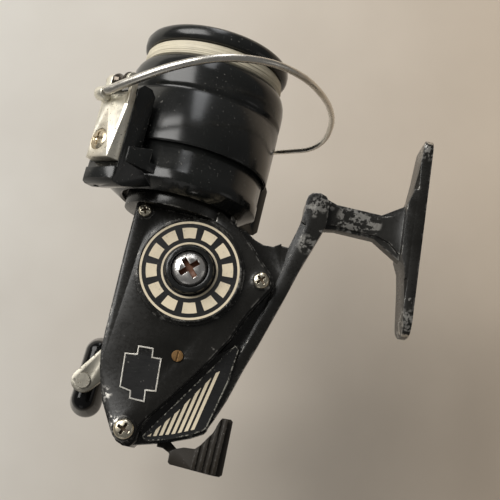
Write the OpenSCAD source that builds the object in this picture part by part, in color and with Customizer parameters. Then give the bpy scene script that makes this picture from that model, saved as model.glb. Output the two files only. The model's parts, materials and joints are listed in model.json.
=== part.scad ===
// Open-face spinning reel, medium size.
// The parts are drawn about the crank axis: X runs forward along the rotor
// axis, Y to the dial side, Z up to the rod. place() then tips the reel so
// that the seat face of the foot lies on Z = 0.

/* [Frame] */
// Angle between the rotor axis and the rod seat, degrees
rotor_tilt = 4.5; // [3:0.5:6]
// Rotor axis below the crank axis
axis_drop = 10; // [9.5:0.5:10.5]
// Angle of the line roller ear about the rotor axis, degrees
ear_angle = 43; // [35:1:50]

/* [Foot] */
// Length of the foot
foot_l = 71; // [66:1:76]
// Width of the foot
foot_w = 16.5; // [15:0.5:18]

/* [Rotor and spool] */
// Radius of the rotor cup that the skirt slides over
cup_r = 26.4; // [26:0.1:26.5]
// Outer radius of the spool skirt
skirt_r = 27.9; // [27.8:0.1:28.2]
// Radius of the wound line
line_r = 25.3; // [20:0.1:25.6]

/* [Shafts] */
// Radius of the main shaft
shaft_r = 2.5; // [2.3:0.1:2.6]
// Radius of the crank shaft
crank_r = 3.8; // [3.4:0.1:3.9]
// Running clearance of shafts in their bores
fit = 0.06; // [0.03:0.01:0.08]

/* [Gears] */
// Teeth of the drive gear
gear_teeth = 44; // [36:4:48]
// Teeth of the pinion
pinion_teeth = 11; // [9:1:12]
// Teeth of the ratchet
ratchet_teeth = 12; // [12:4:16]

/* [Bail] */
// Wire radius beside the line roller
wire_r0 = 1.55; // [1.3:0.05:1.7]
// Wire radius at the far ear
wire_r1 = 0.8; // [0.7:0.05:1.0]

/* [Handle] */
// Crank throw from shaft to knob spindle
throw = 51.8; // [45:0.2:54]
// Direction of the handle at rest, degrees
handle_a = 216.7; // [210:0.1:222]

/* [Dial] */
// Number of blocks round the dial
dial_n = 12; // [8:1:16]

/* [Hidden] */
$fn = 72;
axz = -axis_drop;
hinge_x = 32.2;
osc_r = 4;
osc_x = -15.5;

module place() rotate([0, -rotor_tilt, 0]) translate([-32.4, 0, -74.75]) children();
// children drawn in the X-Z plane, from y0 to y1
module xz(y0, y1) translate([0, y1, 0]) rotate([90, 0, 0]) linear_extrude(y1 - y0) children();
// cylinder along Y
module cy(x, z, r, y0, y1) translate([x, y0, z]) rotate([-90, 0, 0]) cylinder(r = r, h = y1 - y0);
// frame on the rotor axis, Y out through the roller ear
module rf() translate([0, 0, axz]) rotate([-ear_angle, 0, 0]) children();
// frame on the rotor axis, not turned
module af() translate([0, 0, axz]) children();
// revolved about X, points are [radius, x]
module rev(p) rotate([0, 90, 0]) rotate_extrude($fn = 144) polygon(p);
module cx(r, x0, x1, y = 0, z = 0) translate([x0, y, z]) rotate([0, 90, 0]) cylinder(r = r, h = x1 - x0);
// children drawn in the x-y plane of a frame, from z0 to z1
module slab(z0, z1) translate([0, 0, z0]) linear_extrude(z1 - z0) children();
module screw_cross(w, l, d) { translate([-w / 2, -l / 2, -d]) cube([w, l, d + 1]); translate([-l / 2, -w / 2, -d]) cube([l, w, d + 1]); }
// pan head screw along +Z, underside of the head at z = 0
module pan_screw(r, h, sr, sl) difference() {
  union() {
    rotate_extrude() polygon([[0, 0], [r, 0], [r, h * 0.45], [r * 0.86, h * 0.8], [r * 0.55, h], [0, h]]);
    translate([0, 0, -sl]) cylinder(r = sr, h = sl + 0.1);
  }
  translate([0, 0, h]) screw_cross(r * 0.3, r * 1.25, h * 0.55);
}
function gear_pts(n, ro, ri) = [for (i = [0 : n - 1], k = [0 : 3])
  let (a = (i + [0, 0.22, 0.5, 0.72][k]) * 360 / n, r = [ro, ro, ri, ri][k]) [r * cos(a), r * sin(a)]];

// ---- outlines in the X-Z plane ----
plate_pts = [[20.3, -22.9], [2, -22.6], [-24.7, -21.9], [-32.4, -21.5], [-37.3, -20.5], [-42, -19.1],
  [-48.1, -16.7], [-56.7, -11.7], [-59.2, -9.3], [-60, -7.2], [-59.4, -5.2], [-57.6, -4], [-55, -3.9],
  [-52.6, -3.4], [-48.9, -0.9], [-42, 4], [-34.5, 8.9], [-26.9, 13.7], [-19, 18.2], [-12.3, 20.6],
  [-9.1, 22], [-1.3, 26.2], [0.6, 27.3], [2.6, 27.6], [4.9, 26.6], [9.7, 21.4], [13.7, 17.6], [19.1, 11], [22.4, 6.2]];
case_pts = [[20.3, -23.4], [2, -23.2], [-24.7, -22.5], [-32.5, -22.1], [-37.5, -21.1], [-42.2, -19.7],
  [-48.4, -17.3], [-57, -12.2], [-59.8, -9.6], [-60.7, -7.2], [-60.6, -5], [-58, -3.2], [-55, -3],
  [-52.3, -2.4], [-48.4, -0.1], [-41.5, 4.9], [-34, 9.8], [-26.4, 14.6], [-18.6, 19], [-12, 21.4],
  [-8.8, 22.8], [-1.4, 27], [0.5, 28.1], [2.8, 28.5], [5.5, 27.3], [10.4, 22], [14.4, 18.1], [19.7, 11.5], [22.8, 6.2]];
cavity_pts = [[8, -20.8], [-24, -20], [-36, -18.4], [-46, -14.9], [-51, -11], [-50.4, -7.2], [-41, -0.6],
  [-26, 9.6], [-12, 16.8], [-3, 20], [1.5, 20.6], [8, 16.6], [15, 9], [15, -14], [10.5, -16.5]];
back_pts = [[-60.6, -7.2], [-58, 1.2], [-55.8, 7.4], [-53.2, 13.5], [-50.8, 17.4], [-49.6, 18.2], [-48.4, 18.4],
  [-45.3, 19.7], [-37.8, 22.4], [-26.6, 25.4], [-17.5, 28.3], [-7.9, 31], [1.8, 33.8], [11.9, 36.4],
  [22.7, 39.8], [28, 41.5], [36.3, 41], [38.2, 39.4], [38.9, 37.2], [38.3, 34.4], [37.2, 33.3], [35.2, 32.9], [31.5, 33.1],
  [27.7, 32.8], [21.6, 30.6], [18.9, 28.7], [16.6, 25.4], [16.4, 22], [17.5, 18.6], [19.7, 15], [20.3, -10], [-40, -16]];
rib_pts = [[-45.3, 19.7], [-37.8, 22.4], [-26.6, 25.4], [-17.5, 28.3], [-7.9, 31], [1.8, 33.8], [11.9, 36.4],
  [22.7, 39.8], [28, 41.5], [36.3, 41], [38.2, 39.4], [38.9, 37.2], [38.3, 34.4], [37.2, 33.3], [35.2, 32.9], [31.5, 33.1],
  [27.7, 32.8], [26.3, 34.8], [10.8, 30.9], [8.1, 30.1], [-6, 27.6], [-14, 25.6], [-20, 23.4], [-32.8, 20.4], [-44, 17.6]];
badge_pts = [[-21.2, 19.9], [-19.9, 20.9], [-21.3, 22.3], [-32.8, 21.3], [-48.4, 18.1], [-49.8, 17.4], [-52.6, 12.9],
  [-55.3, 6.9], [-57.3, 0.7], [-57.1, -1.4], [-56.2, -1.9]];
stem_pts = [[28.2, 38], [29.4, 44], [29.4, 60], [28, 64.5], [24.5, 69], [18, 74], [48, 72], [41, 68], [37.8, 64], [36.4, 60], [36.2, 44], [37.6, 38]];

stripe_pts = [[-56.1, -0.6], [-55.1, 2.7], [-53, 8.4], [-50.1, 14.4], [-49.6, 15.2], [-29.6, 17.9], [-30.4, 16.8],
  [-38.9, 11.5], [-45.5, 7.6], [-54.8, 0.8]];
paddle_pts = [[-62.4, 8.2], [-58.9, 8], [-57.7, 9.6], [-56.6, 12.2], [-56.2, 15.8], [-54.8, 17.2], [-49.8, 20.4], [-45.3, 21.9],
  [-44.4, 22.3], [-44.1, 25.2], [-44.7, 26], [-62.4, 26.6], [-63.2, 25.8], [-63.3, 23], [-63, 9]];

// ---- fixed casting ----
module foot() translate([32.4, 0, 74.75]) rotate([0, rotor_tilt, 0]) difference() {
  intersection() {
    xz(-foot_w / 2, foot_w / 2) polygon([[-foot_l / 2, 0], [foot_l / 2, 0], [foot_l / 2, -2.4], [foot_l / 2 - 2, -3.1],
      [22, -4.1], [15, -5], [10, -6.6], [-8, -6.6], [-12, -5], [-18, -4.2], [-foot_l / 2 + 2, -2.9], [-foot_l / 2, -2.2]]);
    union() {
      translate([-foot_l / 2 + 5.5, -foot_w / 2, -8]) cube([foot_l - 11, foot_w, 9]);
      translate([-foot_l / 2, -foot_w / 2 + 5.5, -8]) cube([foot_l, foot_w - 11, 9]);
      for (s = [-1, 1], e = [-1, 1]) translate([e * (foot_l / 2 - 5.5), s * (foot_w / 2 - 5.5), -8]) cylinder(r = 5.5, h = 9);
    }
  }
  for (s = [-1, 1], e = [-1, 1]) translate([e * 36, s * (foot_w / 2 + 0.2), -5.2]) rotate([0, 0, e * s * 3.2]) translate([-18, -1.6, 0]) rotate([s * 38, 0, 0]) translate([-2, -3, -3]) cube([40, 6, 3]);
}
module housing() color("#1d1c1a") place() difference() {
  union() {
    xz(-12, 10) polygon(case_pts);
    xz(-5, 5) polygon(back_pts);
    xz(-6.6, 6.6) polygon(rib_pts);
    xz(-7.4, 7.4) polygon(concat(badge_pts, [[-50, -6], [-30, 8]]));
    xz(-4, 4) polygon(stem_pts);
    xz(-2.6, 2.6) polygon([[27, 38], [28.4, 45], [28.4, 59], [22, 70.5], [44, 69.5], [37.4, 60], [37.3, 44], [39, 38]]);
    foot();
    af() cx(18.6, 19, 24.8);
    cy(0, 0, 9, -18, -11.5);
    cy(0, 0, 12.5, -14, -11.5);
  }
  xz(-10, 11) polygon(cavity_pts);
  cy(0, 0, 6, -19, -9);
  af() { cx(5.4, 11, 15); cx(7.4, 14, 17); cx(9.5, 16, 22); cx(17, 21, 26); cx(1.3, 14, 22, -7, 12.2); }
  af() for (a = [150, 330]) rotate([a, 0, 0]) cx(0.9, 17.5, 22, 0, 12.4);
  cx(shaft_r - 1.7 + fit, -62, 22, 0, 5.2);
  translate([-62, -3.3, 2]) cube([6.8, 6.6, 6.4]);
  cx(1.2, 8, 17.5, -1, -16.5);
  for (p = [[16.7, -19.7], [2.6, 24], [-55.5, -7.9]]) cy(p[0], p[1], 1.3, 1, 11);
  af() rotate([0, 90, 0]) rotate_extrude() polygon([[38.2, 17.6], [40.9, 17.6], [42.4, 24], [43, 27], [43.1, 46], [38.2, 46]]);
}
module side_plate() color("#1d1c1a") place() difference() {
  union() {
    xz(10, 12) polygon(plate_pts);
    cy(0, 0, 18.4, 12, 12.9);
    cy(0, 0, 17.5, 12, 14.2);
    cy(-55.5, -7.9, 4.1, 12, 12.8);
    cy(2.6, 24, 3.2, 12, 12.4);
    cy(16.7, -19.7, 3, 12, 12.4);
    cy(osc_x, 0, 4, 8.4, 10);
  }
  cy(0, 0, 6, 9, 15);
  cy(0, 0, 16.9, 13.4, 15);
  cy(-28.5, 3.1, 1.2, 9, 13);
  cy(osc_x, 0, 2, 8, 11.2);
  for (p = [[16.7, -19.7], [2.6, 24], [-55.5, -7.9]]) cy(p[0], p[1], 1.5, 9, 14);
  af() cx(18.7, 18.95, 30);
}
module cover_screws() color("#b9ab86") place() {
  translate([16.7, 12.4, -19.7]) rotate([-90, 20, 0]) pan_screw(2.2, 1.5, 1.25, 7);
  translate([2.6, 12.4, 24]) rotate([-90, 50, 0]) pan_screw(2.7, 1.5, 1.25, 9);
  translate([-55.5, 12.8, -7.9]) rotate([-90, 70, 0]) pan_screw(3.3, 1.8, 1.25, 9.4);
}
module oil_port_screw() color("#8a6a35") place() translate([-28.5, 12, 3.1]) rotate([-90, 0, 0]) difference() {
  union() { cylinder(r = 1.9, h = 0.7); translate([0, 0, -2]) cylinder(r = 1.15, h = 2.1); }
  translate([-2, -0.25, 0.35]) cube([4, 0.5, 1]);
}
module dial_disc() color("#121212") place() difference() {
  cy(0, 0, 16.85, 13.4, 14);
  cy(0, 0, 8.35, 13, 15);
}
module dial_ring(ro, ri) difference() { cy(0, 0, ro, 14, 14.15); cy(0, 0, ri, 13.9, 14.3); }
module dial_marks() color("#efe3c4") place() {
  dial_ring(16.75, 16);
  dial_ring(9.55, 8.9);
  for (k = [0 : dial_n - 1]) rotate([0, 13.8 - k * 360 / dial_n, 0]) xz(14, 14.15)
    polygon([for (a = [-10, -5, 0, 5, 10]) [14.6 * cos(a), 14.6 * sin(a)], for (a = [10, 0, -10]) [11 * cos(a), 11 * sin(a)]]);
}
module striped_badge() color("#151515") place() xz(7.4, 7.9) polygon(badge_pts);
module badge_stripes() color("#efe3c4") place() xz(7.9, 8.02) intersection() {
  polygon(stripe_pts);
  for (k = [0 : 7]) translate([-57, -0.5 + 1.78 * k]) rotate(10) square([50, 1.02]);
}
module name_plate() color("#8e8a80") place() difference() {
  xz(12, 12.3) polygon([[-28.1, -10.3], [-27.8, -5.1], [-30.7, -4.7], [-30.5, -1.7], [-41.5, -0.7], [-42, -4], [-45.7, -3.6],
    [-45.7, -8.8], [-43.3, -9.2], [-42.8, -12.8], [-31.5, -14], [-30.9, -10]]);
  xz(12.15, 13) polygon([[-28.6, -9.9], [-28.3, -5.5], [-31.1, -5.1], [-31, -2.1], [-41.1, -1.2], [-41.6, -4.5], [-45.2, -4.1],
    [-45.2, -8.4], [-42.9, -8.8], [-42.4, -12.4], [-31.9, -13.5], [-31.3, -9.6]]);
}
// ---- crank ----
module crank_collar() color("#161616") place() difference() {
  union() { cy(0, 0, 6, 8.4, 13.4); rotate([-90, 0, 0]) rotate_extrude() polygon([[0, 13.4], [8.3, 13.4], [8.3, 16.4], [7.7, 17.4], [0, 17.4]]); }
  cy(0, 0, crank_r + fit, 8, 18);
  cy(0, 0, 6.25, 14.4, 18);
}
module crank_bush() color("#b08d57") place() difference() {
  union() { cy(0, 0, 6, -18, -10); cy(0, 0, 7.6, -19.4, -18); }
  cy(0, 0, crank_r + fit, -20, -9);
}
module drive_gear() color("#b5a27a") place() difference() {
  union() {
    cy(0, 0, crank_r, -20.4, 14);
    cy(0, 0, 13.9, -9.6, -7.6);
    cy(0, 0, 6, -7.6, -1.2);
    cy(0, 0, 4.2, -1.2, 1.2);
    cy(0, 0, 6, 1.2, 2.6);
    difference() {
      xz(-7.7, -5) polygon(gear_pts(gear_teeth, 14.2, 13.4));
      cy(0, 0, 12.2, -8, -4);
      for (i = [0 : 3 : gear_teeth - 1]) rotate([0, i * 360 / gear_teeth, 0]) translate([11, -6, -0.35]) cube([4, 2, 0.7]);
    }
    xz(2.6, 5.4) polygon(gear_pts(12, 5.2, 4.1));
  }
  cy(0, 0, 2.7, -21, 3);
  cy(0, 0, 1.6, 2, 15);
  for (a = [0 : 60 : 300]) rotate([0, a, 0]) cy(9.2, 0, 1.7, -10, -7);
  af() translate([0, 0, 0]) cx(4.75, 3, 4, 0, 0);
}
module handle_arm() color("#9d9a94") place() rotate([0, -handle_a, 0]) {
  difference() {
   intersection() {
    xz(-40, -18) polygon([for (a = [90 : 15 : 270]) [6.4 * cos(a), 6.4 * sin(a)], [throw, -4.3],
      for (a = [-75 : 15 : 75]) [throw + 4.3 * cos(a), 4.3 * sin(a)], [throw, 4.3]]);
    translate([0, 0, -8]) linear_extrude(16) polygon([[-8, -20.6], [-8, -24.2], [12, -24.2], [31, -32.4], [60, -32.4], [60, -29.2], [32, -29.2], [13, -20.6]]);
   }
   cy(throw, 0, 2.05, -34, -28);
  }
  cy(0, 0, 2.65, -21, 2.4);
}
module handle_screw() color("#c9c5bd") place() translate([0, 14.7, 0]) rotate([-90, 45, 0]) pan_screw(5.9, 4, 1.5, 11);
module knob_spindle() color("#c9c5bd") place() rotate([0, -handle_a, 0]) {
  cy(throw, 0, 1.9, -56, -29.2);
  cy(throw, 0, 2.8, -29.2, -28.4);
  cy(throw, 0, 3, -56.6, -55.9);
}
module handle_knob() color("#101010") place() rotate([0, -handle_a, 0]) translate([throw, 0, 0]) rotate([0, handle_a - 2, 0]) difference() {
  translate([3, 0, 1.2]) hull() {
    for (s = [-1, 1]) { translate([s * 9.2, -38.4, 0]) sphere(r = 4.6, $fn = 32); translate([s * 9.6, -46, 0]) scale([1, 1.3, 1]) sphere(r = 6, $fn = 32); translate([s * 8, -51, 0]) sphere(r = 5.6, $fn = 32); }
  }
  cy(0, 0, 1.9 + fit, -70, -30);
  cy(0, 0, 3.2, -70, -55.2);
}
// ---- bearing ----
module bearing_outer() color("#8f9296") place() af() rev([[7.9, 16.1], [9.48, 16.1], [9.48, 20.9], [7.9, 20.9], [7.9, 19.6], [7.3, 19.2], [7.9, 18.5]]);
module bearing_inner() color("#8f9296") place() af() rev([[4.28, 16.1], [5.4, 16.1], [5.4, 20.9], [4.28, 20.9]]);
module bearing_balls() color("#c8cacc") place() af() for (i = [0 : 8]) rotate([i * 40, 0, 0]) translate([17.4, 6.5, 0]) sphere(r = 1.05, $fn = 24);
module bearing_retainer() color("#77797c") place() af() difference() {
  cx(14.2, 21, 21.7); cx(6.6, 20.5, 22);
  cx(1.3, 20, 23, -7, 12.2);
  for (a = [150, 330]) rotate([a, 0, 0]) cx(0.95, 20, 23, 0, 12.4);
  translate([20, 9.8, -20]) cube([3, 8, 40]);
}
module retainer_screws() color("#a8a8a4") place() af() for (a = [150, 330]) rotate([a, 0, 0]) { cx(0.85, 18, 21.7, 0, 12.4); difference() { cx(1.5, 21.7, 22.5, 0, 12.4); translate([22.1, -2, 12.2]) cube([1, 4, 0.4]); } }
// ---- rotor ----
module pinion() color("#b08d57") place() af() difference() {
  union() {
    cx(4.24, 12.5, 41.4);
    cx(4.9, 13, 16);
    translate([4.5, 0, 0]) rotate([90, 0, 90]) linear_extrude(8.1) polygon(gear_pts(pinion_teeth, 4.6, 3.4));
  }
  cx(shaft_r + fit, 4, 42);
}
module ratchet() color("#77797c") place() af() difference() {
  translate([22.3, 0, 0]) rotate([90, 0, 90]) linear_extrude(1.7) polygon([for (k = [0 : ratchet_teeth - 1], j = [0 : 1])
    let (a = 80.1 + (k + [0, 0.985][j]) * 360 / ratchet_teeth, r = [7, 8.5][j]) [r * cos(a), r * sin(a)]]);
  cx(4.28, 20, 26);
}
module rotor() color("#141414") place() rf() difference() {
  union() {
    rev([[4.3, 27], [18.4, 27], [20.4, 24.8], [20.6, 23], [21.4, 22.6], [26.7, 25.7], [26.7, 29.4], [cup_r, 29.8], [cup_r, 49.2], [cup_r - 0.5, 50],
      [25, 50], [24.8, 31], [23.4, 29.6], [8, 29.6], [8, 37], [4.3, 37]]);
    slab(-7.6, 7.6) polygon([[23.2, 21.6], [20.6, 27], [18.8, 33], [18.8, 36.4], [19.9, 38.6], [23.7, 38.6], [24.1, 37], [51.4, 37], [53.6, 35], [53.6, 31.4], [51.6, 29.3], [29.5, 29.3], [29.5, 22.5]]);
    difference() {
      hull() { translate([26.4, 24, -11]) cube([8, 1, 22]); translate([27, 34, -8]) cube([5, 0.6, 16]); }
      cx(28.7, 29.5, 60);
      cx(25.5, 20, 40);
    }
    slab(-6.5, 6.5) polygon([[23.2, -21.6], [23.4, -27], [24.6, -33], [26.4, -34.9], [42.6, -34.9], [44.6, -33.2], [44.6, -31], [43, -29.3], [29.5, -29.3], [29.5, -22.5]]);
  }
  for (s = [-1, 1]) translate([17, 38.8, s * 7.6]) rotate([s * 38, 0, 0]) translate([0, -1, -3]) cube([10, 6, 6]);
  translate([26.6, 31.2, -5.6]) difference() { cube([22.2, 6, 11.2]); translate([hinge_x - 26.6, -1, 5.6]) rotate([-90, 0, 0]) cylinder(r = 3.1, h = 8); }
  translate([hinge_x, 28, 0]) rotate([-90, 0, 0]) cylinder(r = 1.65, h = 10);
  translate([hinge_x, -36, 0]) rotate([-90, 0, 0]) cylinder(r = 1.65, h = 8);
  cx(0.96, 17, 28, 34, -4.4);
}
module rotor_nut() color("#b08d57") place() af() difference() {
  translate([37, 0, 0]) rotate([0, 90, 0]) cylinder(r = 8, h = 3.6, $fn = 6);
  cx(4.28, 36, 42);
}
module balance_weight() color("#6f7175") place() rf() intersection() {
  translate([29.6, -23.8, -8]) cube([4.4, 9, 16]);
  cx(23.3, 29, 35);
}
// ---- bail, hinged on the line through both ears ----
wire_pts = [[16, 44, 0.16], [16.1, 44, 2.4], [17.5, 43.6, 6.3], [19.5, 42.7, 12.4], [22, 41.2, 18.8], [24.6, 39, 24.8], [28.2, 34.4, 32],
  [31.4, 28, 37.8], [34, 19.7, 42.1], [35.8, 11, 44.2], [37.1, 0, 44.1], [37.7, -10.6, 41.8], [38, -21.3, 37.9],
  [37.5, -30.6, 33], [36.2, -35.9, 29], [34.1, -40.6, 24], [32.1, -42.8, 19], [30.4, -42.6, 14.5], [29.4, -41, 10.2],
  [28.6, -39.5, 6.6], [28.1, -38.5, 3.6], [27.9, -38.28, 1.4], [27.9, -38.28, -0.8]];
function cr(p, i, t) = let (n = len(p) - 1, a = p[max(i - 1, 0)], b = p[i], c = p[min(i + 1, n)], d = p[min(i + 2, n)])
  0.5 * ((2 * b) + (c - a) * t + (2 * a - 5 * b + 4 * c - d) * t * t + (3 * b - a - 3 * c + d) * t * t * t);
wire_path = [for (i = [0 : len(wire_pts) - 2], t = [0, 0.5]) cr(wire_pts, i, t), wire_pts[len(wire_pts) - 1]];
function unit(v) = v / norm(v);
module tube(p, r0, r1, sides = 12, c = [20, 0, 6]) {
  n = len(p) - 1;
  ring = [for (i = [0 : n]) let (t = unit(p[min(i + 1, n)] - p[max(i - 1, 0)]),
      a = unit(cross(t, p[i] - c)), b = cross(t, a), r = r0 + (r1 - r0) * i / n)
    for (k = [0 : sides - 1]) p[i] + r * (a * cos(k * 360 / sides) + b * sin(k * 360 / sides))];
  polyhedron(ring, concat([[for (k = [0 : sides - 1]) k]], [[for (k = [sides - 1 : -1 : 0]) n * sides + k]],
    [for (i = [0 : n - 1], k = [0 : sides - 1], h = [0, 1]) let (q = i * sides + k, w = i * sides + (k + 1) % sides)
      h == 0 ? [q, q + sides, w + sides] : [q, w + sides, w]]));
}
module bail_arm() color("#bdb8ae") place() rf() translate([hinge_x, 0, 0]) difference() {
  union() {
    hull() {
      for (q = [[15, 41.4, -3.8], [12.5, 41.4, 0], [-6.2, 41.4, 6.4], [-6.2, 41.4, -3.8],
          [17.6, 38.8, -5], [17.6, 38.8, 7.4], [-6.2, 38.8, 7.4], [-6.2, 38.8, -4.6],
          [17, 37.2, -5], [17, 37.2, 7.4], [-6.2, 37.2, 7.4], [-6.2, 37.2, -4.6]]) translate(q) cube(0.1, center = true);
    }
    translate([15.4, 43.4, -3.6]) cylinder(r = 2.3, h = 3.6);
    translate([21.2, 39.8, -3.2]) cylinder(r = 2.5, h = 2.6);
    translate([13, 37.3, -3.2]) cube([8.2, 5, 2.6]);
    translate([21.2, 39.8, 6]) cylinder(r = 2.3, h = 1.4);
    translate([13, 37.5, 6]) cube([8.2, 2.3, 1.4]);
  }
  translate([0, 36, 0]) rotate([-90, 0, 0]) cylinder(r = 1.66, h = 8);
  translate([0, 40.6, 0]) rotate([-90, 0, 0]) cylinder(r = 3.7, h = 3);
  translate([21.2, 39.8, -4]) cylinder(r = 1.05, h = 12);
}
module bail_wire() color("#d8d6d0") place() rf() translate([hinge_x, 0, 0]) tube(wire_path, wire_r0, wire_r1);
module bail_end_plate() color("#bdb8ae") place() rf() translate([hinge_x, 0, 0]) difference() {
  translate([0, -35.1, 0]) rotate([90, 0, 0]) linear_extrude(2.3) polygon([for (a = [60 : 20 : 300]) [4.2 * cos(a), 4.2 * sin(a)], [14, -2.6], [24, -2], [28, -2], [29.6, -0.8], [29.8, 1.2], [28.6, 2.8], [24, 2.8], [14, 3]]);
  translate([0, -39, 0]) rotate([-90, 0, 0]) cylinder(r = 1.66, h = 6);
}
module bail_screws() color("#c4bda8") place() rf() translate([hinge_x, 0, 0]) {
  translate([0, 40.62, 0]) rotate([-90, 0, 0]) pan_screw(3.6, 1.3, 1.6, 11.4);
  translate([0, -37.42, 0]) rotate([90, 0, 0]) pan_screw(3.2, 1.3, 1.6, 7);
}
module roller_screw() color("#c9c5bd") place() rf() translate([hinge_x + 21.2, 39.8, 0]) { translate([0, 0, -3.2]) cylinder(r = 1, h = 10.6); translate([0, 0, -4.2]) difference() { cylinder(r = 2, h = 1); translate([-3, -0.25, -1]) cube([6, 0.5, 1.4]); } }
module line_roller() color("#c2b6a6") place() rf() translate([hinge_x + 21.2, 39.8, 0]) rotate_extrude() polygon([[1.06, -0.4], [2.6, -0.4], [2.6, 0.4], [1.9, 1.8], [1.8, 2.8], [1.9, 3.8], [2.6, 5.2], [2.6, 5.8], [1.06, 5.8]]);
module bail_spring() color("#8d9094") place() rf() translate([hinge_x, 33.4, 0]) rotate([-90, 0, 0]) tube([for (a = [0 : 30 : 1440]) [4.1 * cos(a), 4.1 * sin(a), 2.6 * a / 1440]], 0.3, 0.3, 8, [0, 0, 1.3]);
module trip_rod() color("#8d9094") place() rf() { cx(0.9, 20.2, 28.7, 34, -4.4); translate([28.6, 32.6, -5.4]) cube([0.6, 2.8, 2]); }
// ---- oscillation ----
module main_shaft() color("#c8cacc") place() af() { cx(shaft_r, -16, 80.6); cx(shaft_r - 0.3, 80.6, 81.2); }
module shaft_clip() color("#8d9094") place() af() difference() { cx(4.4, 56.9, 57.5); cx(shaft_r, 56, 58); translate([56, -1.3, -6]) cube([2, 2.6, 6]); }
module osc_slider() color("#a89a78") place() translate([osc_x + osc_r, 0, 0]) difference() {
  union() {
    translate([-3.4, -3.4, axz - 3.6]) cube([6.8, 6, 7]);
    translate([-3.4, 1.2, axz + 2]) cube([6.8, 1.4, 15.6]);
    translate([-1.6, -3, -19]) cube([3.2, 4, 6]);
  }
  af() cx(shaft_r, -9, 9);
  translate([-1.56, 0.5, -5.6]) cube([3.12, 3, 11.2]);
  cy(0, 5.6, 1.56, 0.5, 4); cy(0, -5.6, 1.56, 0.5, 2.7);
  cx(1 + fit, -9, 9, -1, -16.5);
}
module slider_screws() color("#8d9094") place() translate([osc_x + osc_r, -3.4, axz]) rotate([90, 0, 0]) difference() { cylinder(r = 1.6, h = 1); translate([-2, -0.25, 0.5]) cube([4, 0.5, 1]); }
module guide_rod() color("#c8cacc") place() cx(1, -34.5, 17, -1, -16.5);
module osc_post() color("#c8cacc") place() { cy(osc_x, 0, 2, 2.95, 11.2); cy(osc_x, 0, 3, 5.6, 8.4); }
module osc_gear() color("#e4e0d6") place() translate([osc_x, 0, 0]) difference() {
  union() { rotate([0, 7.5, 0]) xz(3.2, 5.3) polygon(gear_pts(24, 10.1, 9)); cy(osc_r, 0, 1.5, 2.75, 3.3); }
  cy(0, 0, 2 + fit, 2, 6);
}
// ---- anti-reverse ----
module anti_reverse_lever() color("#211d1a") place() difference() {
  union() {
    cx(2.1, -58.4, -55.5, 0, 5.2);
    xz(-1.6, 1.6) polygon([[-58.4, 5.2], [-55.6, 5.2], [-55.9, 7.4], [-57.4, 9.6], [-58.4, 12], [-61.4, 12], [-61.4, 9], [-59.4, 7.6]]);
    xz(-5.5, 4.4) polygon(paddle_pts);
    intersection() {
      xz(4, 5.6) polygon(paddle_pts);
      translate([0, 0, 8.9]) rotate([0, -0.8, 0]) translate([-64, 4, 0]) cube([24, 2, 15.4]);
    }
    for (z = [16.2, 18.6, 21, 23.3]) intersection() {
      xz(5.5, 6.3) polygon([for (q = paddle_pts) [-54 + (q[0] + 54) * 0.96, 17.5 + (q[1] - 17.5) * 0.94]]);
      translate([-64, 5, z]) cube([24, 2, 1.1]);
    }
  }
  cx(0.8, -59, -55, 0, 5.2);
}
module anti_reverse_shaft() color("#c8cacc") place() { cx(0.8, -58.4, 23.8, 0, 5.2); translate([22.3, -3.4, 4.4]) cube([1.5, 3.4, 1.6]); }
module anti_reverse_pawl() color("#77797c") place() af() difference() {
  union() {
    cx(2, 22.3, 23.8, -7, 12.2);
    translate([22.3, 0, 0]) rotate([90, 0, 90]) linear_extrude(1.5) polygon([[-7, 14.2], [-2, 13.4], [1.2, 12.6], [1.6, 9.9], [0.6, 9.6], [-1.5, 11.2], [-7, 10.2]]);
  }
  cx(1.06, 21, 25, -7, 12.2);
}
module pawl_pin() color("#c8cacc") place() af() { cx(1, 15, 24.3, -7, 12.2); cx(1.28, 15, 22.1, -7, 12.2); }
module pawl_spring() color("#8d9094") place() af() translate([23.95, -9.2, 12.2]) rotate([0, 0, 0]) tube([[-0.6, 0.2, -1.6], [0.1, -0.6, 0], [0.1, 0.2, 1.6], [0.1, 2.2, 2.5], [0.1, 4.4, 2.4], [-0.1, 6, 2.3]], 0.22, 0.22, 8, [-20, 1, 1]);
// ---- spool ----
module spool() color("#141414") place() af() rev([[shaft_r + fit, 58], [7, 58], [7, 62.6], [24.2, 63.4], [26.2, 62], [skirt_r - 1.1, 59], [skirt_r - 1.1, 38.3], [skirt_r - 0.15, 38.3],
  [skirt_r, 38.8], [skirt_r, 56.8], [skirt_r - 0.6, 57.2], [skirt_r - 0.6, 58.3], [skirt_r - 0.1, 58.7], [skirt_r, 61], [skirt_r - 0.1, 64.6], [skirt_r - 0.5, 67], [skirt_r - 1.2, 68.8],
  [skirt_r - 2, 70], [skirt_r - 2.8, 70.8], [24.2, 71], [13.5, 68.2], [13.5, 78.4], [24.2, 76.3], [25.3, 76.4], [26, 77], [26.3, 78.2], [26.3, 80], [25.6, 81.3], [24.6, 82], [23, 82.2],
  [21, 81.6], [12.4, 80.2], [11.6, 79.4], [11.6, 72], [shaft_r + fit, 72]]);
module line_pack() color("#e9e4cf") place() af() rev([[13.55, 68.3], [24.1, 71.05], [line_r - 0.5, 71.4], [line_r - 0.1, 72.4], [line_r, 73.6], [line_r - 0.2, 75], [line_r - 0.7, 76.1], [24.1, 76.25], [13.55, 78.3]]);
module click_gear() color("#77797c") place() af() difference() {
  translate([55.2, 0, 0]) rotate([90, 0, 90]) linear_extrude(1.6) polygon(gear_pts(24, 8, 7.2));
  cx(shaft_r, 54, 58);
}
module click_pawl() color("#b08d57") place() af() { cx(1.2, 55, 57.95, 0, -11.4); translate([55, -0.5, -11.4]) cube([1.4, 1, 3]); }
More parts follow.
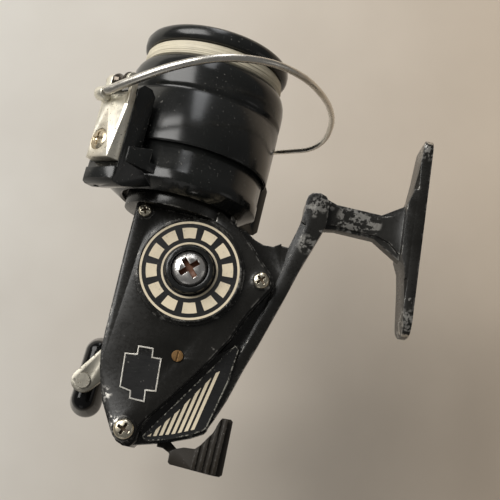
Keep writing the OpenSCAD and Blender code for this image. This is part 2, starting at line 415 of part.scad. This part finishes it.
module drag_washers() color("#9a8f7c") place() af() for (k = [0 : 4]) difference() { cx(k % 2 == 0 ? 9.4 : 9.1, 72.1 + 0.66 * k, 72.1 + 0.66 * k + 0.6); cx(shaft_r, 70, 78); }
module drag_spring() color("#8d9094") place() af() tube([for (a = [0 : 30 : 1080]) [75.8 + 3.4 * a / 1080, 4.4 * cos(a), 4.4 * sin(a)]], 0.45, 0.45, 8, [77.5, 0, 0]);
module drag_knob() color("#141414") place() af() difference() {
  union() {
    rev([[0, 76.6], [10.2, 76.6], [10.2, 82.4], [9.4, 83.6], [0, 83.9]]);
  }
  cx(7, 76, 80.2);
  cx(shaft_r + fit, 76, 82);
  for (a = [0 : 30 : 330]) rotate([a, 0, 0]) cx(0.9, 77.4, 85, 10.6, 0);
}

housing();
side_plate();
cover_screws();
oil_port_screw();
dial_disc();
dial_marks();
striped_badge();
badge_stripes();
name_plate();
crank_collar();
crank_bush();
drive_gear();
handle_arm();
handle_screw();
knob_spindle();
handle_knob();
bearing_outer();
bearing_balls();
bearing_inner();
bearing_retainer();
retainer_screws();
pinion();
ratchet();
rotor();
rotor_nut();
balance_weight();
bail_arm();
bail_wire();
bail_end_plate();
bail_screws();
roller_screw();
line_roller();
bail_spring();
trip_rod();
main_shaft();
osc_slider();
guide_rod();
osc_post();
osc_gear();
slider_screws();
anti_reverse_lever();
anti_reverse_shaft();
anti_reverse_pawl();
pawl_pin();
pawl_spring();
spool();
line_pack();
click_gear();
click_pawl();
drag_washers();
drag_spring();
drag_knob();
shaft_clip();
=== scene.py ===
import json, math, random
import bpy, bmesh
from mathutils import Vector, Matrix


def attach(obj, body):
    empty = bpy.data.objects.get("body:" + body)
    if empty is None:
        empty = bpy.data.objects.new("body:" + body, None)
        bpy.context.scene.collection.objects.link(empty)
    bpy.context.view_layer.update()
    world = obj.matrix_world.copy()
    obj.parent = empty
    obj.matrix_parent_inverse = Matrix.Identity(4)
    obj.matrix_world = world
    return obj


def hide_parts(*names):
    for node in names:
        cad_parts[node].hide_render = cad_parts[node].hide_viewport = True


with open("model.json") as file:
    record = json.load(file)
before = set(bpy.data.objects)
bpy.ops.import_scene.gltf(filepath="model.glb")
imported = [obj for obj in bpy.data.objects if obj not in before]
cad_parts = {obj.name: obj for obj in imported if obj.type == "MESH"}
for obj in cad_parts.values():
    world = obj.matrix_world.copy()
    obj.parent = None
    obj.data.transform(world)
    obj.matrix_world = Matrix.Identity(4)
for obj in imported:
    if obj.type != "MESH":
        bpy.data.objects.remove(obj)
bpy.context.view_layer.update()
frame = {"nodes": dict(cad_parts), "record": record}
nodes = frame["nodes"]
random.seed(7)
scene = bpy.context.scene

# ---------- the body frame of the CAD, in the row frame ----------
A = math.radians(-4.5)


def rdir(x, y, z):
    return Vector((x * math.cos(A) + z * math.sin(A), y, -x * math.sin(A) + z * math.cos(A)))


def row(x, y, z):
    return rdir(x - 32.4, y, z - 74.75) / 1000


EA = math.radians(43)
ER = (0, math.cos(EA), -math.sin(EA))
ET = (0, math.sin(EA), math.cos(EA))


def rfp(x, u, t):
    """A point in the rotor frame: x along the axis, u out through the roller ear, t across it."""
    return row(x, u * ER[1] + t * ET[1], -10 + u * ER[2] + t * ET[2])


# ---------- camera ----------
cam_data = bpy.data.cameras.new("camera")
cam = bpy.data.objects.new("camera", cam_data)
scene.collection.objects.link(cam)
cam_data.sensor_width = 36
cam_data.lens = 72
cam_data.dof.use_dof = False
right, up, back = rdir(0.2331, 0.0373, 0.9717), rdir(0.9488, 0.2102, -0.2356), rdir(-0.213, 0.977, 0.0136)
back.normalize(); right = (right - back * right.dot(back)).normalized(); up = back.cross(right)
m = Matrix.Identity(4)
for i in range(3):
    m[i][0], m[i][1], m[i][2] = right[i], up[i], back[i]
m.translation = row(-59.96, 342.3, 22.56)
cam.matrix_world = m
cam_data.clip_start, cam_data.clip_end = 0.01, 10
scene.camera = cam


# ---------- material helpers ----------
class Mat:
    def __init__(self, name):
        self.m = bpy.data.materials.new(name)
        self.m.use_nodes = True
        self.t = self.m.node_tree
        self.t.nodes.clear()
        self.out = self.t.nodes.new("ShaderNodeOutputMaterial")
        self.b = self.t.nodes.new("ShaderNodeBsdfPrincipled")
        self.t.links.new(self.b.outputs[0], self.out.inputs[0])
        self.co = self.t.nodes.new("ShaderNodeTexCoord").outputs["Object"]

    def n(self, kind, **kw):
        node = self.t.nodes.new(kind)
        for k, v in kw.items():
            if k in node.inputs:
                node.inputs[k].default_value = v
            else:
                setattr(node, k, v)
        return node

    def link(self, a, b):
        self.t.links.new(a, b)

    def noise(self, scale, detail=4, rough=0.55, stretch=None, out="Fac"):
        n = self.n("ShaderNodeTexNoise", Scale=scale, Detail=detail, Roughness=rough)
        src = self.co
        if stretch:
            mp = self.n("ShaderNodeMapping")
            mp.inputs["Scale"].default_value = stretch
            self.link(src, mp.inputs["Vector"])
            src = mp.outputs[0]
        self.link(src, n.inputs["Vector"])
        return n.outputs[out]

    def ramp(self, fac, lo, hi, a=0.0, b=1.0):
        r = self.n("ShaderNodeMapRange", clamp=True)
        r.inputs["From Min"].default_value, r.inputs["From Max"].default_value = lo, hi
        r.inputs["To Min"].default_value, r.inputs["To Max"].default_value = a, b
        self.link(fac, r.inputs["Value"])
        return r.outputs[0]

    def math(self, op, a, b=None):
        n = self.n("ShaderNodeMath", operation=op)
        for i, v in enumerate([a, b]):
            if v is None:
                continue
            if isinstance(v, (int, float)):
                n.inputs[i].default_value = v
            else:
                self.link(v, n.inputs[i])
        return n.outputs[0]

    def mix(self, fac, a, b):
        n = self.n("ShaderNodeMix", data_type="RGBA")
        for s, v in ((n.inputs["Factor"], fac), (n.inputs["A"], a), (n.inputs["B"], b)):
            pass
        ins = [i for i in n.inputs if i.enabled]
        for s, v in zip((ins[0], ins[1], ins[2]), (fac, a, b)):
            if isinstance(v, (int, float)):
                s.default_value = v
            elif isinstance(v, tuple):
                s.default_value = v if len(v) == 4 else (*v, 1)
            else:
                self.link(v, s)
        return [o for o in n.outputs if o.enabled][0]

    def edge(self, radius, lo=0.02, hi=0.25):
        """1 on sharp convex and concave edges."""
        bv = self.n("ShaderNodeBevel", samples=6)
        bv.inputs["Radius"].default_value = radius
        g = self.n("ShaderNodeNewGeometry")
        d = self.n("ShaderNodeVectorMath", operation="DOT_PRODUCT")
        self.link(bv.outputs[0], d.inputs[0])
        self.link(g.outputs["Normal"], d.inputs[1])
        return self.ramp(self.math("SUBTRACT", 1.0, d.outputs["Value"]), lo, hi)

    def bump(self, height, dist, strength=1.0, bevel=None):
        b = self.n("ShaderNodeBump", Strength=strength, Distance=dist)
        self.link(height, b.inputs["Height"])
        if bevel:
            bv = self.n("ShaderNodeBevel", samples=4)
            bv.inputs["Radius"].default_value = bevel
            self.link(bv.outputs[0], b.inputs["Normal"])
        self.link(b.outputs[0], self.b.inputs["Normal"])

    def set(self, **kw):
        for k, v in kw.items():
            s = self.b.inputs[k.replace("_", " ")]
            if isinstance(v, (int, float)):
                s.default_value = v
            elif isinstance(v, tuple):
                s.default_value = (*v, 1) if len(v) == 3 else v
            else:
                self.link(v, s)
        return self


def painted(name, base, metal=(0.5, 0.48, 0.44), rough=(0.3, 0.5), wear=0.5, chips=0.62, bevel=0.00035, grain=0.00002, dust=(0.12, 0.11, 0.1), spots_at=()):
    a = Mat(name)
    big = a.noise(60, 5)
    fine = a.noise(900, 3, 0.6)
    spots = a.noise(420, 2, 0.5)
    streak = a.noise(160, 4, 0.6, (1.0, 1.0, 7.0))
    e = a.edge(0.0012, 0.03, 0.30)
    ragged = a.ramp(a.math("ADD", a.math("MULTIPLY", fine, 0.5), a.math("MULTIPLY", a.noise(210, 4), 0.6)), 0.56, 0.66)
    chip = a.math("MULTIPLY", a.math("MULTIPLY", e, ragged), wear)
    speck = a.ramp(spots, chips + 0.08, chips + 0.13, 0, 0.75)
    speck = a.math("MULTIPLY", speck, a.ramp(big, 0.5, 0.62))
    bare = a.math("MAXIMUM", chip, speck)
    col = a.mix(a.ramp(big, 0.35, 0.7), base, tuple(c * 1.7 + 0.004 for c in base))
    col = a.mix(a.ramp(streak, 0.6, 0.85, 0, 0.12), col, dust)
    for at, size, amount in spots_at:
        dn = a.n("ShaderNodeVectorMath", operation="DISTANCE")
        a.link(a.co, dn.inputs[0])
        dn.inputs[1].default_value = tuple(at)
        near = a.ramp(dn.outputs["Value"], size, size * 0.35, 0, amount)
        bare = a.math("MAXIMUM", bare, a.math("MULTIPLY", near, a.ramp(a.math("ADD", a.math("MULTIPLY", fine, 0.5), a.math("MULTIPLY", spots, 0.5)), 0.50, 0.56)))
    col = a.mix(bare, col, metal)
    a.set(Base_Color=col, Metallic=a.ramp(bare, 0.3, 0.7, 0, 0.9))
    r = a.ramp(a.math("ADD", a.math("MULTIPLY", big, 0.6), a.math("MULTIPLY", fine, 0.4)), 0.3, 0.7, rough[0], rough[1])
    a.set(Roughness=r)
    a.b.inputs["Specular IOR Level"].default_value = 0.36
    a.bump(a.math("ADD", a.math("MULTIPLY", fine, 0.5), a.math("MULTIPLY", spots, 0.5)), grain * 4, 0.6, bevel)
    return a.m


def gloss(name, base, rough=(0.12, 0.3), wear=0.25, smudge=0.02, coat=0.0, spec=0.42, specks=0.8):
    a = Mat(name)
    big = a.noise(45, 5)
    fine = a.noise(700, 3, 0.6)
    scr = a.noise(260, 3, 0.7, (1.0, 1.0, 14.0))
    scr2 = a.noise(300, 3, 0.7, (12.0, 1.0, 1.0))
    e = a.edge(0.0005)
    col = a.mix(a.ramp(big, 0.3, 0.75), base, tuple(c + smudge for c in base))
    col = a.mix(a.math("MULTIPLY", a.ramp(scr, 0.66, 0.74), 0.22), col, (0.16, 0.16, 0.16))
    col = a.mix(a.math("MULTIPLY", a.math("MULTIPLY", e, a.ramp(fine, 0.45, 0.6)), wear), col, (0.3, 0.29, 0.27))
    speck = a.math("MULTIPLY", a.ramp(a.noise(1300, 2, 0.5), 0.68, 0.73), a.ramp(a.noise(90, 3), 0.48, 0.62))
    col = a.mix(a.math("MULTIPLY", speck, specks), col, (0.22, 0.21, 0.19))
    a.set(Base_Color=col)
    a.set(Roughness=a.ramp(a.math("ADD", a.math("MULTIPLY", big, 0.55), a.math("MULTIPLY", scr2, 0.45)), 0.32, 0.68, rough[0], rough[1]))
    a.b.inputs["Specular IOR Level"].default_value = spec
    if coat:
        a.b.inputs["Coat Weight"].default_value = coat
        a.b.inputs["Coat Roughness"].default_value = 0.08
    a.bump(a.math("ADD", a.math("MULTIPLY", fine, 0.3), a.math("MULTIPLY", big, 0.7)), 0.00006, 0.35, 0.0003)
    return a.m


def metal(name, base, rough=(0.2, 0.45), tarnish=(0.25, 0.2, 0.14), amount=0.4, pit=0.0, brush=None, bevel=0.0002, pit_scale=1500):
    a = Mat(name)
    big = a.noise(120, 4)
    fine = a.noise(pit_scale, 2, 0.6)
    br = a.noise(500, 3, 0.6, brush or (1, 1, 1))
    col = a.mix(a.math("MULTIPLY", a.ramp(big, 0.48, 0.72), amount), base, tarnish)
    r = a.ramp(a.math("ADD", a.math("MULTIPLY", big, 0.5), a.math("MULTIPLY", br, 0.5)), 0.35, 0.68, rough[0], rough[1])
    h = a.math("MULTIPLY", br, 0.4)
    if pit:
        p = a.ramp(fine, 0.6, 0.68, 0, 1)
        p = a.math("MULTIPLY", p, a.ramp(a.noise(230, 3), 0.42, 0.58))
        col = a.mix(a.math("MULTIPLY", p, pit), col, (0.10, 0.07, 0.045))
        r = a.math("ADD", r, a.math("MULTIPLY", p, 0.3))
        h = a.math("SUBTRACT", h, p)
    e = a.edge(0.0004)
    col = a.mix(a.math("MULTIPLY", e, 0.35), col, tuple(min(1, c * 1.25) for c in base))
    a.set(Base_Color=col, Metallic=1.0, Roughness=r)
    a.bump(h, 0.00008, 0.5, bevel)
    return a.m


def printed(name, base, wear=0.5):
    a = Mat(name)
    big = a.noise(200, 4)
    fine = a.noise(1600, 3, 0.65)
    col = a.mix(a.ramp(big, 0.35, 0.7), base, tuple(c * 0.86 for c in base))
    col = a.mix(a.math("MULTIPLY", a.math("MULTIPLY", a.ramp(fine, 0.6, 0.68), a.ramp(big, 0.5, 0.65)), wear), col, (0.1, 0.08, 0.06))
    a.set(Base_Color=col, Roughness=a.ramp(fine, 0.3, 0.7, 0.42, 0.62))
    a.bump(fine, 0.00003, 0.4)
    return a.m


# handled spots where the paint has gone: foot ends, stem, elbow, front of the ridge, screw bosses
WORN = [(Vector((0.0345, 0.004, -0.001)), 0.009, 1), (Vector((-0.0345, 0.004, -0.001)), 0.010, 1),
        (row(33, 4, 50), 0.006, 1), (row(33, 4, 57), 0.004, 0.9), (row(33.5, 5, 37), 0.0045, 1), (row(37, 5, 40), 0.004, 1),
        (row(20, 6, 36.5), 0.004, 0.8), (row(-55, 12, -12), 0.005, 0.9), (row(-46, 12, -17), 0.003, 0.9),
        (row(2, 12, 27), 0.0025, 0.7)]
M = {}
M["body_paint"] = painted("body_paint", (0.0085, 0.008, 0.0068), rough=(0.17, 0.38), wear=1.0, spots_at=WORN)
M["foot_paint"] = M["body_paint"]
M["gloss_black"] = gloss("gloss_black", (0.0055, 0.006, 0.0055), (0.10, 0.26), wear=0.5, smudge=0.010)
M["spool_black"] = gloss("spool_black", (0.006, 0.0065, 0.006), (0.12, 0.28), smudge=0.010)
M["knob_black"] = gloss("knob_black", (0.003, 0.003, 0.003), (0.05, 0.14), smudge=0.003, wear=0.1, spec=0.25, specks=0.15)
M["brown_black"] = gloss("brown_black", (0.019, 0.0145, 0.0095), (0.36, 0.55), smudge=0.010, spec=0.22, wear=0.5)
M["dial_black"] = gloss("dial_black", (0.008, 0.008, 0.008), (0.22, 0.4), smudge=0.008)
M["cream_print"] = printed("cream_print", (0.80, 0.69, 0.50))
M["worn_silver"] = metal("worn_silver", (0.80, 0.77, 0.70), (0.3, 0.5), amount=0.6)
M["satin_silver"] = metal("satin_silver", (0.34, 0.32, 0.27), (0.34, 0.55), (0.2, 0.17, 0.12), 0.6, pit=0.6, brush=(1, 1, 3))
M["worn_chrome"] = metal("worn_chrome", (0.90, 0.86, 0.74), (0.30, 0.52), (0.42, 0.34, 0.24), 0.5, pit=0.85, bevel=0.00035)
M["screw_steel"] = metal("screw_steel", (0.74, 0.68, 0.54), (0.18, 0.38), (0.38, 0.28, 0.15), 0.7, pit=0.5)
M["big_screw"] = metal("big_screw", (0.78, 0.76, 0.73), (0.2, 0.42), (0.45, 0.4, 0.36), 0.5, pit=0.3, brush=(1, 6, 1))
M["brass_screw"] = metal("brass_screw", (0.24, 0.14, 0.06), (0.35, 0.55), (0.07, 0.035, 0.015), 0.9, pit=0.7)
M["bronze"] = metal("bronze", (0.72, 0.52, 0.28), (0.2, 0.4), amount=0.3)
M["zinc_gear"] = metal("zinc_gear", (0.55, 0.53, 0.48), (0.35, 0.55), amount=0.3)
M["steel"] = metal("steel", (0.78, 0.78, 0.77), (0.14, 0.32), (0.5, 0.47, 0.42), 0.25)
M["dark_roller"] = metal("dark_roller", (0.10, 0.085, 0.07), (0.2, 0.4), amount=0.4)
M["rim"] = painted("rim", (0.012, 0.011, 0.009), (0.6, 0.58, 0.5), wear=1.0, spots_at=[(row(-40, 8, 8), 0.03, 0.9), (row(-52, 8, 4), 0.012, 0.9)])
M["wire"] = metal("wire", (0.74, 0.71, 0.65), (0.22, 0.36), (0.5, 0.43, 0.33), 0.35, pit=0.0, bevel=0.0003)
M["nylon"] = printed("nylon", (0.8, 0.77, 0.7), 0.1)
M["line"] = printed("line", (0.66, 0.60, 0.46), 0.15)
M["felt_washer"] = metal("felt_washer", (0.5, 0.44, 0.34), (0.4, 0.6))
M["rust"] = printed("rust", (0.16, 0.06, 0.025), 0.6)
# Painted shade: a dark brown laid into the cover screws' recesses to stand in for the shade that falls there.
M["recess_shade"] = printed("recess_shade", (0.07, 0.045, 0.02), 0.6)
M["web_pebble"] = painted("web_pebble", (0.012, 0.0115, 0.0105), rough=(0.5, 0.75), wear=0.3, grain=0.00006)

special = {"knob_spindle": "satin_silver", "line_roller": "dark_roller", "handle_screw": "big_screw", "handle_knob": "knob_black", "bail_wire": "wire", "spool": "spool_black", "main_shaft": "steel"}
slot_of = {s["node"]: s["material_slot"] for s in frame["record"]["subparts"]}


def paint(o, mat):
    o.data.materials.clear()
    o.data.materials.append(mat)


for name, o in nodes.items():
    paint(o, M[special.get(name, slot_of.get(name, "steel"))])


# ---------- rounded copies of the castings ----------
def link_obj(name, mesh):
    o = bpy.data.objects.new(name, mesh)
    scene.collection.objects.link(o)
    return o


def body_name(node):
    for b, members in frame["record"]["behaviour"]["bodies"].items():
        if node in members:
            return b


def rounded(node, width, segments=2, angle=38, mat=None, keep=None):
    src = nodes[node]
    mesh = src.data.copy()
    bm = bmesh.new()
    bm.from_mesh(mesh)
    bmesh.ops.remove_doubles(bm, verts=bm.verts, dist=2e-6)
    bmesh.ops.dissolve_limit(bm, angle_limit=math.radians(0.6), verts=bm.verts, edges=bm.edges)
    bm.to_mesh(mesh)
    bm.free()
    o = link_obj(node + "_finish", mesh)
    if width:
        bv = o.modifiers.new("bevel", "BEVEL")
        bv.width = width
        bv.segments = segments
        bv.limit_method = "ANGLE"
        bv.angle_limit = math.radians(angle)
        bv.use_clamp_overlap = True
        bv.miter_outer = "MITER_ARC"
        bv.harden_normals = False
    dg = bpy.context.evaluated_depsgraph_get()
    new = bpy.data.meshes.new_from_object(o.evaluated_get(dg))
    o.modifiers.clear()
    o.data = new
    for p in new.polygons:
        p.use_smooth = True
    new.set_sharp_from_angle(angle=math.radians(32))
    paint(o, mat or M[special.get(node, slot_of[node])])
    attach(o, body_name(node))
    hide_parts(node)
    return o


def recess_split(o, mat2, centres, depth):
    """Second material inside the cross recess of each screw head facing +Y."""
    o.data.materials.append(mat2)
    vs = o.data.vertices
    for c, radius in centres:
        near = [v.co.y for v in vs if math.hypot(v.co.x - c.x, v.co.z - c.z) < radius * 1.6]
        if not near:
            continue
        top = max(near)
        for p in o.data.polygons:
            q = p.center
            if top - 0.004 < q.y < top - depth and math.hypot(q.x - c.x, q.z - c.z) < radius:
                p.material_index = 1


def copy_of(node, mat=None):
    return rounded(node, 0, mat=mat)


soft = {"housing": 0.0005, "rotor": 0.0006, "side_plate": 0.0003, "bail_arm": 0.0004, "bail_end_plate": 0.0003,
        "handle_arm": 0.0005, "anti_reverse_lever": 0.00035, "crank_collar": 0.0003, "drag_knob": 0.0003}
made = {n: rounded(n, wd) for n, wd in soft.items()}

o = copy_of("handle_screw")
recess_split(o, M["rust"], [(row(0, 0, 0), 0.0033)], 0.0006)
o = copy_of("cover_screws")
# Painted shade: the dark second material in the cover screws' cross recesses stands in for the shade inside them.
recess_split(o, M["recess_shade"], [(row(16.7, 0, -19.7), 0.0013), (row(2.6, 0, 24), 0.0016), (row(-55.5, 0, -7.9), 0.0019)], 0.0004)
for n in ("bail_wire", "handle_knob", "spool", "bail_screws", "knob_spindle"):
    copy_of(n)
o = copy_of("name_plate")
o.data.materials.append(M["dial_black"])
top = max(v.co.y for v in o.data.vertices)
for p in o.data.polygons:
    if p.normal.y > 0.9 and p.center.y < top - 0.00008:
        p.material_index = 1


o = copy_of("striped_badge")
bm = bmesh.new()
bm.from_mesh(o.data)
top_faces = [f for f in bm.faces if f.normal.y > 0.9]
ring = bmesh.ops.inset_region(bm, faces=top_faces, thickness=0.00042, depth=0.0, use_even_offset=True)["faces"]
for f in bm.faces:
    f.material_index = 0
for f in ring:
    f.material_index = 1
bm.to_mesh(o.data)
bm.free()
o.data.materials.append(M["rim"])


def wound_line():
    """The line on the spool: many fine turns laid side by side, some crossing."""
    prof = [(69.9, 20.0), (70.9, 24.0), (71.4, 24.8), (72.4, 25.2), (73.6, 25.3), (75.0, 25.1), (76.1, 24.6), (76.2, 24.0), (77.0, 20.0)]
    na, ns = 300, 84
    L = [0]
    for a, b in zip(prof, prof[1:]):
        L.append(L[-1] + math.dist(a, b))
    pts = []
    for k in range(ns + 1):
        d = L[-1] * k / ns
        i = max(j for j in range(len(prof) - 1) if L[j] <= d + 1e-9)
        f = (d - L[i]) / (L[i + 1] - L[i])
        pts.append(tuple(prof[i][q] + f * (prof[i + 1][q] - prof[i][q]) for q in range(2)))
    rnd = random.Random(3)
    amp = [rnd.uniform(0.4, 1) for _ in range(64)]
    verts, faces = [], []
    for i in range(na):
        th = 2 * math.pi * i / na
        for k, (x, r) in enumerate(pts):
            t1 = math.sin(2 * math.pi * (x / 0.62 + i / na)) * 0.5 + 0.5
            t2 = math.sin(2 * math.pi * (x / 1.35 - 3 * i / na) + 1.1 * math.sin(2 * th)) * 0.5 + 0.5
            lump = 0.5 + 0.5 * math.sin(th * 5 + amp[k % 64] * 3) * math.sin(th * 2 + x)
            rr = r - 0.02 - 0.16 * (1 - t1) - 0.16 * (1 - t2) ** 2 - 0.08 * lump
            a = th
            verts.append(row(x, rr * math.cos(a), -10 + rr * math.sin(a)))
    m_ = ns + 1
    for i in range(na):
        for k in range(ns):
            a, b = i * m_ + k, ((i + 1) % na) * m_ + k
            faces.append((a, b, b + 1, a + 1))
    # close the ring on the core
    base = len(verts)
    for i in range(na):
        th = 2 * math.pi * i / na
        for x in (68.4, 78.2):
            verts.append(row(x, 13.6 * math.cos(th), -10 + 13.6 * math.sin(th)))
    for i in range(na):
        j = (i + 1) % na
        faces.append((i * m_, base + 2 * i, base + 2 * j, j * m_))
        faces.append((i * m_ + ns, j * m_ + ns, base + 2 * j + 1, base + 2 * i + 1))
        faces.append((base + 2 * i, base + 2 * i + 1, base + 2 * j + 1, base + 2 * j))
    me = bpy.data.meshes.new("wound_line")
    me.from_pydata([tuple(v) for v in verts], [], faces)
    bm = bmesh.new()
    bm.from_mesh(me)
    bmesh.ops.recalc_face_normals(bm, faces=bm.faces)
    bm.to_mesh(me)
    bm.free()
    for p in me.polygons:
        p.use_smooth = True
    o = link_obj("wound_line", me)
    paint(o, M["line"])
    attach(o, "spool_group")
    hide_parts("line_pack")


wound_line()

# ---------- stage ----------
def plane(name, centre, normal, size, mat):
    bpy.ops.mesh.primitive_plane_add(size=size)
    o = bpy.context.object
    o.name = name
    o.matrix_world = Matrix.Translation(centre) @ normal.to_track_quat("Z", "Y").to_matrix().to_4x4()
    o.data.materials.append(mat)
    return o


floor_n = rdir(-0.08, 0.99, 0.02).normalized()
floor_at = row(10, -118, 10)
floor_m = floor_n.to_track_quat("Z", "Y").to_matrix()
# Painted light on the floor: its colour is lighter toward the upper left of the view, where the key lamp stands, and
# darker toward the lower right, a painted falloff of light and shade.
painted_light_view_dir = (up * 0.12 - right * 0.99)
PAINTED_LIGHT_DIR = tuple(floor_m.transposed() @ painted_light_view_dir)
FLOOR_PAINTED_SHADE, FLOOR_PAINTED_LIGHT = (0.66, 0.555, 0.44), (0.70, 0.675, 0.625)
fl = Mat("floor")
g = fl.noise(9, 4)
fine_f = fl.noise(120, 3)
painted_falloff_dot = fl.n("ShaderNodeVectorMath", operation="DOT_PRODUCT")
fl.link(fl.co, painted_falloff_dot.inputs[0])
painted_falloff_dot.inputs[1].default_value = PAINTED_LIGHT_DIR
painted_falloff = fl.ramp(painted_falloff_dot.outputs["Value"], -0.13, 0.13)
colf = fl.mix(painted_falloff, FLOOR_PAINTED_SHADE, FLOOR_PAINTED_LIGHT)
colf = fl.mix(fl.ramp(g, 0.38, 0.66, 0, 0.16), colf, (0.30, 0.24, 0.18))
fl.set(Base_Color=colf, Roughness=0.9)
geo = fl.n("ShaderNodeNewGeometry")
tr = fl.n("ShaderNodeBsdfTransparent")
mx = fl.n("ShaderNodeMixShader")
fl.link(geo.outputs["Backfacing"], mx.inputs[0])
fl.link(fl.b.outputs[0], mx.inputs[1])
fl.link(tr.outputs[0], mx.inputs[2])
fl.link(mx.outputs[0], fl.out.inputs[0])
plane("floor", floor_at, floor_n, 3.0, fl.m)


def area(name, at, look, size, power, colour=(1, 1, 1), size_y=None):
    d = bpy.data.lights.new(name, "AREA")
    d.energy, d.color = power, colour
    d.size = size
    if size_y:
        d.shape = "RECTANGLE"
        d.size_y = size_y
    o = bpy.data.objects.new(name, d)
    scene.collection.objects.link(o)
    o.location = at
    o.rotation_mode = "QUATERNION"
    o.rotation_quaternion = (look - at).to_track_quat("-Z", "Y")
    return o


centre = row(10, 0, 10)
# up-left of the picture is forward (+X of the body) and toward the reel's left
ul = (up * 0.75 - right * 0.65)
area("key", centre + back * 0.62 + ul * 0.85, centre, 0.75, 12.5, (1.0, 0.985, 0.955))
area("top_strip", centre + up * 0.75 + back * 0.10 + right * 0.1, centre, 0.7, 1.3, (0.97, 0.98, 1.0), 0.16)
area("side_fill", centre + right * 0.8 + back * 0.30 - up * 0.1, centre, 0.30, 0.12, (1.0, 0.97, 0.93))
area("low_fill", centre - up * 0.8 + back * 0.3 - right * 0.3, centre, 0.4, 0.2, (1.0, 0.98, 0.95))
w = bpy.data.worlds.new("world")
scene.world = w
w.use_nodes = True
bg = w.node_tree.nodes["Background"]
bg.inputs[0].default_value = (0.93, 0.92, 0.90, 1)
bg.inputs[1].default_value = 0.15
scene.view_settings.view_transform = "Standard"
